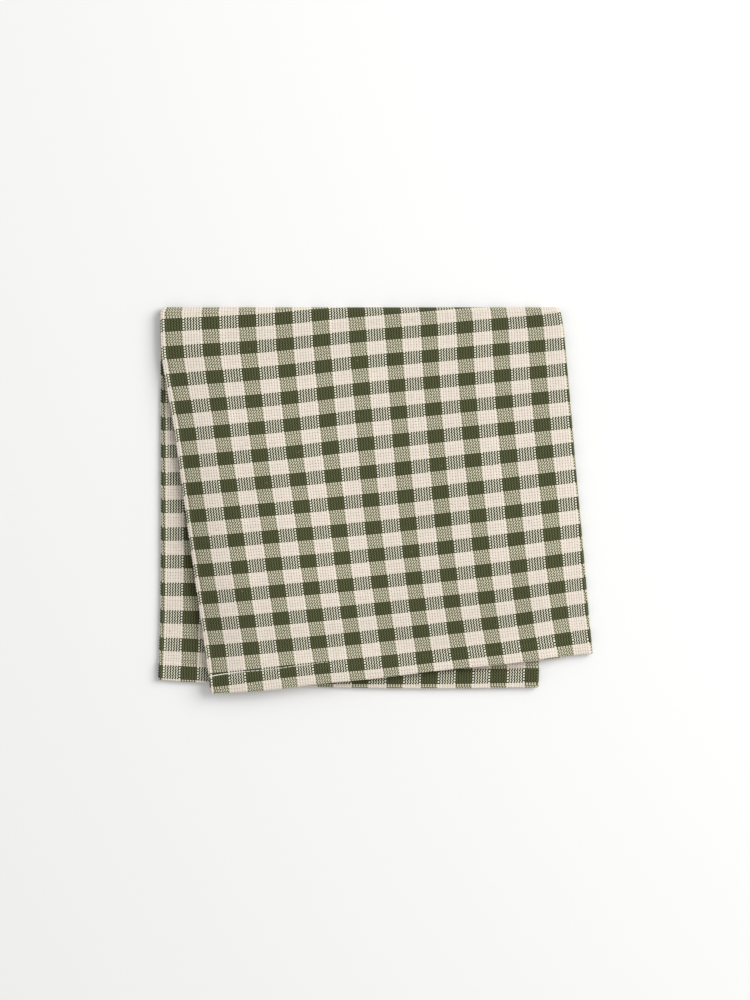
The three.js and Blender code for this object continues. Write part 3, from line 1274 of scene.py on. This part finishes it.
class Shader:
    """A material under construction: its node tree, and the few kinds of node that it uses.

    A colour is given as a display colour, or as the socket that it comes from.
    """

    def __init__(self, name: str) -> None:
        """Starts a material with one surface shader.

        Args:
            name: the material's name.
        """
        self.material = bpy.data.materials.new(name)
        self.material.use_nodes = True
        self.tree = self.material.node_tree
        self.surface = next(n for n in self.tree.nodes if n.type == "BSDF_PRINCIPLED")

    def split(self, socket: Socket) -> tuple[Field, Field]:
        """Splits a vector.

        Args:
            socket: the socket that it comes from.

        Returns:
            Its first two numbers.
        """
        node = self.tree.nodes.new("ShaderNodeSeparateXYZ")
        self.tree.links.new(socket, node.inputs["Vector"])
        return Field(self.tree, node.outputs["X"]), Field(self.tree, node.outputs["Y"])

    def place(self, name: str) -> tuple[Field, Field]:
        """Reads a UV map.

        Args:
            name: the map's name.

        Returns:
            Its two numbers.
        """
        uv = self.tree.nodes.new("ShaderNodeUVMap")
        uv.uv_map = name
        return self.split(uv.outputs["UV"])

    def object_place(self) -> tuple[Field, Field]:
        """The x and y of a point on the object, in metres."""
        return self.split(self.tree.nodes.new("ShaderNodeTexCoord").outputs["Object"])

    def vector(self, x: Field, y: Field) -> Socket:
        """Makes a vector.

        Args:
            x: its first number.
            y: its second number.

        Returns:
            The socket that it comes from.
        """
        join = self.tree.nodes.new("ShaderNodeCombineXYZ")
        self.tree.links.new(x.socket, join.inputs["X"])
        self.tree.links.new(y.socket, join.inputs["Y"])
        return join.outputs["Vector"]

    def chance(self, x: Field, y: Field) -> Field:
        """Gives each pair of numbers a number of its own.

        Args:
            x: the first number, which goes in steps.
            y: the second number, which goes in steps.

        Returns:
            A number from 0 to 1.
        """
        node = self.tree.nodes.new("ShaderNodeTexWhiteNoise")
        node.noise_dimensions = "2D"
        self.tree.links.new(self.vector(x, y), node.inputs["Vector"])
        return Field(self.tree, node.outputs["Value"])

    def noise(self, x: Field, y: Field, detail: float) -> Field:
        """Makes smooth noise.

        Args:
            x: the first number, with one lump to each unit.
            y: the second number, with one lump to each unit.
            detail: how many finer layers of lumps there are.

        Returns:
            The noise, from 0 to 1.
        """
        node = self.tree.nodes.new("ShaderNodeTexNoise")
        node.noise_dimensions = "2D"
        node.inputs["Scale"].default_value = 1.0
        node.inputs["Detail"].default_value = detail
        self.tree.links.new(self.vector(x, y), node.inputs["Vector"])
        return Field(self.tree, node.outputs["Fac"])

    def blend(self, share: Field, low: Paint, high: Paint) -> Socket:
        """Mixes two colours.

        Args:
            share: how much of the second colour there is.
            low: the first colour.
            high: the second colour.

        Returns:
            The mixed colour.
        """
        node = self.tree.nodes.new("ShaderNodeMix")
        node.data_type = "RGBA"
        self.tree.links.new(share.socket, node.inputs["Factor"])
        for socket, paint in ((node.inputs["A"], low), (node.inputs["B"], high)):
            if isinstance(paint, str):
                socket.default_value = (*linear(paint), 1.0)
            else:
                self.tree.links.new(paint, socket)
        return node.outputs["Result"]

    def scale_colour(self, colour: Socket, amount: Field) -> Socket:
        """Multiplies a colour by a number.

        Args:
            colour: the colour.
            amount: the number.

        Returns:
            The lighter or darker colour.
        """
        node = self.tree.nodes.new("ShaderNodeVectorMath")
        node.operation = "SCALE"
        self.tree.links.new(colour, node.inputs[0])
        self.tree.links.new(amount.socket, node.inputs["Scale"])
        return node.outputs[0]

    def relief(self, height: Field, depth: float) -> None:
        """Raises the surface.

        Args:
            height: how high it stands.
            depth: how many metres one unit of the height is.
        """
        node = self.tree.nodes.new("ShaderNodeBump")
        node.inputs["Distance"].default_value = depth
        self.tree.links.new(height.socket, node.inputs["Height"])
        self.tree.links.new(node.outputs["Normal"], self.surface.inputs["Normal"])

    def finish(
        self,
        colour: Socket,
        roughness: Field,
        sheen: float,
        sheen_roughness: float = 0.5,
        gloss: float = 0.25,
    ) -> bpy.types.Material:
        """Dresses the surface.

        Args:
            colour: its colour.
            roughness: its roughness.
            sheen: how strong the sheen of its fibres is.
            sheen_roughness: how wide that sheen spreads.
            gloss: how strong its clear reflection is.

        Returns:
            The finished material.
        """
        self.tree.links.new(colour, self.surface.inputs["Base Color"])
        self.tree.links.new(roughness.socket, self.surface.inputs["Roughness"])
        self.surface.inputs["Sheen Weight"].default_value = sheen
        self.surface.inputs["Sheen Roughness"].default_value = sheen_roughness
        self.surface.inputs["Specular IOR Level"].default_value = gloss
        return self.material


@dataclass(frozen=True)
class Grid:
    """The gingham's repeat: its warp ends across and its weft picks along, green and cream.

    The ends stand in reed dents of two, drawn together. On either side of the green lies a pair
    of cream yarns that are woven as one. A band is the room that its picks take up.
    """

    ends: int = 26
    green_ends: int = 12
    picks: int = 20
    green_picks: int = 10
    single_picks: int = 6
    pair: float = 2.0
    green_band: float = 9.7
    pair_band: float = 2.1
    single_band: float = 6.1
    first_end: float = 12 / 52
    first_pick: float = 0.25
    dent_draw: float = 0.28
    crossing_draw: float = 1.1


@dataclass(frozen=True)
class Warp:
    """The warp at each point: its ends counted over the cloth, and in the repeat.

    The ends as woven take a pair as one.
    """

    number: Field
    place: Field
    end: Field
    green: Field


@dataclass(frozen=True)
class Weft:
    """The weft at each point: its picks counted over the cloth, and its yarns in the repeat.

    The picks as woven take a pair as one.
    """

    number: Field
    yarn: Field
    pick: Field
    green: Field


def warp_of(u: Field, grid: Grid) -> Warp:
    """Reads the warp from the column of the check.

    Args:
        u: the column.
        grid: the gingham's repeat.

    Returns:
        The warp's fields.
    """
    place = (u + grid.first_end) % 1.0 * float(grid.ends)
    drawn = place - (place * math.pi).sin() * (grid.dent_draw * grid.crossing_draw)
    green, last_pair = float(grid.green_ends), grid.ends - grid.pair
    pairs = (drawn - green).within(0.0, grid.pair) + (drawn - last_pair).within(0.0, grid.pair)
    singles = (drawn - (green + grid.pair)).within(0.0, last_pair - green - grid.pair)
    end = drawn.least(green) + singles + pairs * (1 / grid.pair)
    return Warp(u * float(grid.ends), place, end, (place > green).opposite())


def weft_of(v: Field, grid: Grid) -> Weft:
    """Reads the weft from the row of the check.

    Args:
        v: the row.
        grid: the gingham's repeat.

    Returns:
        The weft's fields.
    """
    place = (v + grid.first_pick) % 1.0 * float(grid.picks)
    past_green = place - grid.green_band
    last_pair = place - (grid.picks - grid.pair_band)
    greens = place.within(0.0, grid.green_band) * (grid.green_picks / grid.green_band)
    singles = (past_green - grid.pair_band).within(0.0, grid.single_band)
    plain = greens + singles * (grid.single_picks / grid.single_band)
    pairs = past_green.within(0.0, grid.pair_band) + last_pair.within(0.0, grid.pair_band)
    yarn = plain + pairs * (grid.pair / grid.pair_band)
    pick = plain + pairs * (1 / grid.pair_band)
    green = (place > grid.green_band).opposite()
    return Weft(v * float(grid.picks), yarn, pick, green)


@dataclass(frozen=True)
class Crossing:
    """The weave at each point: how far it is across an end and a pick, and which one shows.

    A yarn's middle is at 0 across it, and its sides are at -1 and 1.
    """

    warp_across: Field
    weft_across: Field
    height: Field
    warp_shown: Field


@dataclass(frozen=True)
class Yarn:
    """One kind of yarn in the cloth: its colour, and half its width as a share of its room."""

    colour: str
    half_width: float


@dataclass(frozen=True)
class CheckCotton:
    """Plain-woven cotton gingham in cream and olive green: each yarn goes over one, under one."""

    name: str = "check_cotton"
    grid: Grid = Grid()

    # The yarns, and their colours where they lie beside the other colour. The green ends' lighter
    # colour and the green picks' darker one are partly the yarns' own and partly painted: light on
    # the raised ends, shade on the picks.
    cream_end: Yarn = Yarn("f4eadb", 0.5)
    green_end: Yarn = Yarn("646742", 0.585)
    cream_pick: Yarn = Yarn("efe3d5", 0.42)
    green_pick: Yarn = Yarn("303318", 0.5)
    green_end_by_cream: str = "494e13"
    # The green pick's colour where it lies by cream ends, darkened with painted shade from the
    # raised cream yarns.
    green_pick_shaded_by_cream: str = "171b02"
    cream_end_by_green: str = "f7f4da"
    cream_pick_by_green: str = "f1ead1"

    # How the yarns lie: their rises are in units of the relief's depth.
    packed_width: float = 0.22
    packed_rise: float = 0.2
    end_rise: float = 0.32
    pick_rise: float = 0.17
    end_slant: float = 0.03
    pick_slant: float = 0.1
    roundness: float = 0.73
    side_slope: float = 6.0
    crossing_sharpness: float = 6.0
    relief_depth: float = 0.22

    # The painted shade between the yarns, lighter where both yarns are cream as painted light
    # bounced between them, and the tan painted shade in the gaps between the ends where both yarns
    # are cream.
    deep_shade: float = 0.48
    cream_bounce_light: float = 0.26
    shade_heights: tuple[float, float] = (-0.5, 1.45)
    gap_shade_colour: str = "d9c0a8"
    gap_sides: tuple[float, float] = (0.85, 1.25)
    gap_shade_strength: float = 0.33

    # How uneven the yarns are: each one's own tone, its slubs and twisted strands, and flecks.
    unevenness: float = 0.1
    tone_step: float = 0.5
    slub_share: float = 2.4
    slub_scale: tuple[float, float] = (0.22, 5.3)
    slub_detail: float = 1.0
    end_seed: float = 3.1
    pick_seed: float = 7.7
    end_twist: float = 2.0
    pick_twist: float = 1.6
    twist_slant: float = 0.8
    twist_relief: float = 0.04
    twist_shade: float = 0.03
    fleck: str = "a08663"
    fleck_from: float = 0.999
    fleck_strength: float = 0.5
    fleck_steps: tuple[float, float] = (1.37, 1.91)
    fleck_start: float = 0.5

    # The cloth as a whole: its slow change of tone, and its dull, faintly hairy surface.
    mottle_scale: tuple[float, float] = (0.8, 1.1)
    mottle_detail: float = 3.0
    mottle: float = 0.07
    mottle_base: float = 0.965
    roughness: float = 0.94
    worn_smoother: float = 0.08
    worn_heights: tuple[float, float] = (-0.5, 1.0)
    sheen: float = 0.08

    def build(self) -> bpy.types.Material:
        """Builds the material from the weave's UV map.

        Returns:
            The finished material.
        """
        shader = Shader(self.name)
        u, v = shader.place(WEAVE_MAP)
        warp, weft = warp_of(u, self.grid), weft_of(v, self.grid)
        crossing = self.crossing(u, warp, weft)
        strands = crossing.warp_shown.mix(
            self.twist(warp.number * self.pick_twist, crossing.weft_across),
            self.twist(weft.number * self.end_twist, crossing.warp_across),
        )
        colour = self.yarn_colour(shader, crossing, warp, weft)
        both_cream = warp.green.most(weft.green).opposite()
        # Painted shade: a tan colour blended into the gaps between the ends where both yarns are
        # cream.
        gap = crossing.warp_across.absolute().ramp(*self.gap_sides) * both_cream
        colour = shader.blend(gap * self.gap_shade_strength, colour, self.gap_shade_colour)
        # Painted shade between the yarns, deepest where they lie low; where both yarns are cream it
        # is lighter, as painted light bounced between them.
        deep = both_cream * self.cream_bounce_light + self.deep_shade
        shade = crossing.height.ramp(*self.shade_heights).mix(deep, 1.0)
        across_scale, along_scale = self.mottle_scale
        mottle = shader.noise(u * across_scale, v * along_scale, self.mottle_detail)
        slow = mottle * self.mottle + self.mottle_base
        # The twisted strands add painted shade in their grooves; the mottle is the cloth's own slow
        # change of tone.
        shade = shade * slow * (strands * self.twist_shade + 1.0)
        shader.relief(crossing.height + strands * self.twist_relief, self.relief_depth * MM)
        worn = crossing.height.ramp(*self.worn_heights)
        roughness = worn * -self.worn_smoother + self.roughness
        return shader.finish(shader.scale_colour(colour, shade), roughness, self.sheen)

    def crossing(self, u: Field, warp: Warp, weft: Weft) -> Crossing:
        """Lays the ends and the picks over and under each other.

        Args:
            u: the column of the check.
            warp: the warp's fields.
            weft: the weft's fields.

        Returns:
            The weave at each point.
        """
        end_side, pick_side = self.side(warp.end), self.side(weft.pick)
        end_wave, pick_wave = warp.end * math.pi, weft.pick * math.pi
        from_end = self.from_middle(warp.place) - self.side(warp.place) * self.grid.dent_draw
        from_end = from_end + end_side * pick_wave.cos() * self.end_slant
        from_pick = self.from_middle(weft.yarn) + pick_side * end_wave.cos() * self.pick_slant
        warp_across = self.across(from_end, warp.green, self.cream_end, self.green_end)
        weft_across = self.across(from_pick, weft.green, self.cream_pick, self.green_pick)
        first_packed = u * -1.0 > -WeaveLayout.outer_selvedge - self.packed_width
        last_packed = u > WeaveLayout.inner_selvedge - self.packed_width
        packed = (first_packed + last_packed) * self.packed_rise
        warp_lift = end_side * pick_wave.sin() * -self.end_rise + packed
        weft_lift = pick_side * end_wave.sin() * self.pick_rise
        warp_height = self.yarn_height(warp_lift, warp_across)
        weft_height = self.yarn_height(weft_lift, weft_across)
        above = (warp_height - weft_height) * self.crossing_sharpness
        warp_shown = (above + 0.5).within(0.0, 1.0)
        return Crossing(warp_across, weft_across, warp_height.most(weft_height), warp_shown)

    def yarn_colour(self, shader: Shader, crossing: Crossing, warp: Warp, weft: Weft) -> Socket:
        """Colours the yarn that shows, by its kind, by what it lies beside, and by its own tone.

        Args:
            shader: the material under construction.
            crossing: the weave at each point.
            warp: the warp's fields.
            weft: the weft's fields.

        Returns:
            The colour.
        """
        green_end = shader.blend(weft.green, self.green_end_by_cream, self.green_end.colour)
        # Green picks by cream ends take a darker colour: painted shade from the raised cream yarns.
        green_pick = shader.blend(warp.green, self.green_pick_shaded_by_cream, self.green_pick.colour)
        cream_end = shader.blend(weft.green, self.cream_end.colour, self.cream_end_by_green)
        cream_pick = shader.blend(warp.green, self.cream_pick.colour, self.cream_pick_by_green)
        end_number, pick_number = warp.number.floor(), weft.number.floor()
        end_tone = self.tone(shader, end_number, weft.number, self.end_seed)
        pick_tone = self.tone(shader, pick_number, warp.number, self.pick_seed)
        end = shader.scale_colour(shader.blend(warp.green, cream_end, green_end), end_tone)
        pick = shader.scale_colour(shader.blend(weft.green, cream_pick, green_pick), pick_tone)
        colour = shader.blend(crossing.warp_shown, pick, end)
        end_step, pick_step = self.fleck_steps
        end_place = end_number * end_step + self.fleck_start
        pick_place = pick_number * pick_step + self.fleck_start
        flecked = shader.chance(end_place, pick_place) > self.fleck_from
        return shader.blend(flecked * self.fleck_strength, colour, self.fleck)

    def side(self, number: Field) -> Field:
        """1 where the whole number below is even, and -1 where it is odd."""
        return number.floor() % 2.0 * -2.0 + 1.0

    def from_middle(self, number: Field) -> Field:
        """How far a number is from the middle between the two whole numbers round it."""
        return number - number.floor() - 0.5

    def across(self, from_middle: Field, green: Field, cream_yarn: Yarn, green_yarn: Yarn) -> Field:
        """How far a point is across a yarn, whose kind depends on where it is green."""
        return from_middle * green.mix(1 / cream_yarn.half_width, 1 / green_yarn.half_width)

    def yarn_height(self, lift: Field, across: Field) -> Field:
        """Finds the height of a yarn's round back, which falls away outside its width.

        Args:
            lift: how high the yarn's middle lies.
            across: how far the point is across the yarn.

        Returns:
            The height.
        """
        inside = (across * across).opposite().most(0.0)
        outside = (across.absolute() - 1.0).most(0.0)
        return lift + inside.maths("SQRT") * self.roundness - outside * self.side_slope

    def twist(self, along: Field, across: Field) -> Field:
        """The slanting strands of a twisted yarn, from -1 in a groove to 1 on a strand."""
        return ((along + across * self.twist_slant) * (2 * math.pi)).sin()

    def tone(self, shader: Shader, yarn: Field, along: Field, seed: float) -> Field:
        """Makes each yarn a little lighter or darker, and uneven along its length.

        Args:
            shader: the material under construction.
            yarn: the yarn's number.
            along: how far along the yarn the point is.
            seed: a number of this set of yarns' own.

        Returns:
            What to multiply the yarn's colour by.
        """
        along_scale, yarn_scale = self.slub_scale
        own = shader.chance(yarn + seed, yarn * self.tone_step + seed)
        uneven = shader.noise(along * along_scale + seed, yarn * yarn_scale, self.slub_detail)
        slubs = uneven * (self.slub_share * self.unevenness)
        average = (1 + self.slub_share) / 2 * self.unevenness
        return own * self.unevenness + slubs + (1 - average)


@dataclass(frozen=True)
class CottonThread:
    """Matt cotton sewing thread of two twisted strands."""

    name: str = "hem_cotton"
    colour: str = "fffcf3"
    groove: str = "8d8371"
    strands: float = 2.0
    turns_per_stitch: float = 4.0
    twist_shade: float = 0.06
    slub_shade: float = 0.08
    slub_scale: tuple[float, float] = (0.7, 2.0)
    slub_detail: float = 1.0
    brightness: float = 0.94
    relief_depth: float = 0.06
    roughness: float = 0.95
    worn_smoother: float = 0.1
    sheen: float = 0.05

    def build(self) -> bpy.types.Material:
        """Builds the material: the twist shows as slanting grooves, in relief and with painted
        shade.

        Returns:
            The finished material.
        """
        shader = Shader(self.name)
        around, along = shader.place(WEAVE_MAP)
        turns = around * self.strands + along * self.turns_per_stitch
        twist = (turns * (2 * math.pi)).sin()
        along_scale, around_scale = self.slub_scale
        slubs = shader.noise(along * along_scale, around * around_scale, self.slub_detail)
        shade = twist * self.twist_shade + slubs * self.slub_shade + self.brightness
        # Painted shade: the colour darkens towards the groove colour in the twist's grooves between
        # the strands; the slubs are the thread's own uneven tone.
        colour = shader.blend(shade, self.groove, self.colour)
        shader.relief(twist, self.relief_depth * MM)
        roughness = shade * -self.worn_smoother + self.roughness
        return shader.finish(colour, roughness, self.sheen)


@dataclass(frozen=True)
class SelvedgeYarn:
    """The weft yarn where it turns back at the selvedge, in the colour of its pick."""

    cotton: CheckCotton = CheckCotton()
    name: str = "selvedge_yarn"
    loops_per_row: float = 10.0
    slub_scale: float = 3.0
    seed: float = 5.9
    brightness: float = 0.95
    roughness: float = 1.0
    worn_smoother: float = 0.1
    sheen: float = 0.05

    def build(self) -> bpy.types.Material:
        """Builds the material from the row of the check.

        Returns:
            The finished material.
        """
        shader = Shader(self.name)
        u, v = shader.place(WEAVE_MAP)
        loop = (v * self.loops_per_row).floor()
        tone = self.cotton.tone(shader, loop, u * self.slub_scale, self.seed)
        green = weft_of(v, self.cotton.grid).green
        colour = shader.blend(green, self.cotton.cream_pick.colour, self.cotton.green_pick.colour)
        colour = shader.scale_colour(colour, tone * self.brightness)
        roughness = tone * -self.worn_smoother + self.roughness
        return shader.finish(colour, roughness, self.sheen)


@dataclass(frozen=True)
class PaleSurface:
    """A smooth, near-white painted surface."""

    name: str = "pale_paint"
    colour: str = "f3f3f2"
    mottle_colour: str = "e6e6e4"
    mottle_scale: float = 30.0
    mottle_detail: float = 4.0
    mottle: float = 0.03
    roughness: float = 0.6
    mottle_roughness: float = 0.06

    def build(self) -> bpy.types.Material:
        """Builds the material, with a very faint mottle.

        Returns:
            The finished material.
        """
        shader = Shader(self.name)
        x, y = shader.object_place()
        x, y = x * self.mottle_scale, y * self.mottle_scale
        mottle = shader.noise(x, y, self.mottle_detail)
        colour = shader.blend(mottle * self.mottle, self.colour, self.mottle_colour)
        return shader.finish(colour, mottle * self.mottle_roughness + self.roughness, 0.0)


@dataclass(frozen=True)
class TableTop:
    """The pale table top that the napkin lies on, in metres. It isn't part of the napkin."""

    name: str = "table_top"
    size: float = 4.0
    thickness: float = 0.03
    edge_radius: float = 0.004
    edge_segments: int = 3

    def build(self) -> bpy.types.Object:
        """Models the slab with its softened edges, its top face at height 0.

        Returns:
            The table top.
        """
        bpy.ops.object.select_all(action="DESELECT")
        bpy.ops.mesh.primitive_cube_add(size=1.0, location=(0.0, 0.0, -self.thickness / 2))
        top = bpy.context.active_object
        top.name = self.name
        top.scale = (self.size, self.size, self.thickness)
        bpy.ops.object.transform_apply(location=True, rotation=True, scale=True)
        bevel = top.modifiers.new("edges", "BEVEL")
        bevel.width = self.edge_radius
        bevel.segments = self.edge_segments
        bpy.ops.object.modifier_apply(modifier=bevel.name)
        top.data.materials.append(PaleSurface().build())
        return top


@dataclass(frozen=True)
class Softbox:
    """A square light that points at the napkin: its place, its size, and its power in watts."""

    name: str
    place: tuple[float, float, float]
    size: float
    power: float

    def build(self) -> None:
        """Sets up the light."""
        lamp = bpy.data.lights.new(self.name, "AREA")
        lamp.shape = "SQUARE"
        lamp.size = self.size
        lamp.energy = self.power
        light = bpy.data.objects.new(self.name, lamp)
        light.location = self.place
        light.rotation_euler = (-Vector(self.place)).to_track_quat("-Z", "Y").to_euler()
        bpy.context.scene.collection.objects.link(light)


@dataclass(frozen=True)
class Studio:
    """Soft light from all round, a stronger softbox at one side, and a camera straight above.

    The sensor's width is in millimetres, and the other sizes are in metres.
    """

    fill: float = 0.6
    softboxes: tuple[Softbox, ...] = (Softbox("key_light", (1.6, 0.8, 1.5), 1.6, 46.0),)
    camera_place: tuple[float, float, float] = (-0.00025, 0.00046, 2.2)
    sensor: float = 36.0
    view_height: float = 0.584

    def light(self) -> None:
        """Sets up the surrounding light and the softboxes, and keeps the weave crisp."""
        world = bpy.data.worlds.new("soft_room")
        world.use_nodes = True
        room = world.node_tree.nodes["Background"]
        room.inputs["Color"].default_value = (1.0, 1.0, 1.0, 1.0)
        room.inputs["Strength"].default_value = self.fill
        bpy.context.scene.world = world
        bpy.context.scene.view_settings.view_transform = "Standard"
        bpy.context.scene.cycles.denoising_prefilter = "NONE"
        for softbox in self.softboxes:
            softbox.build()

    def aim_camera(self) -> None:
        """Sets up the camera, which looks straight down."""
        lens = bpy.data.cameras.new("camera")
        lens.sensor_width = self.sensor
        lens.lens = self.sensor * self.camera_place[2] / self.view_height
        camera = bpy.data.objects.new("camera", lens)
        camera.location = self.camera_place
        bpy.context.scene.collection.objects.link(camera)
        bpy.context.scene.camera = camera


def main() -> None:
    """Builds the napkin, its thread and its setting, and logs how many faces each piece has."""
    logging.basicConfig(level=logging.INFO, format="%(name)s: %(message)s")
    cloth = FoldedCloth(FoldedForm())
    sheet = cloth.build()
    fit_out(sheet, CheckCotton().build())
    thread = CottonThread().build()
    trims = []
    for hem in Hem:
        seam = HemThread(cloth, hem).build()
        fit_out(seam, thread)
        trims.append(seam)
    loops = SelvedgeLoops(cloth).build()
    fit_out(loops, SelvedgeYarn().build())
    trims.append(loops)
    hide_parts(CLOTH_NODE)
    top = TableTop().build()
    for piece in (sheet, *trims, top):
        LOG.info("%s: %d faces", piece.name, len(piece.data.polygons))
    studio = Studio()
    studio.light()
    studio.aim_camera()


if __name__ == "__main__":
    main()
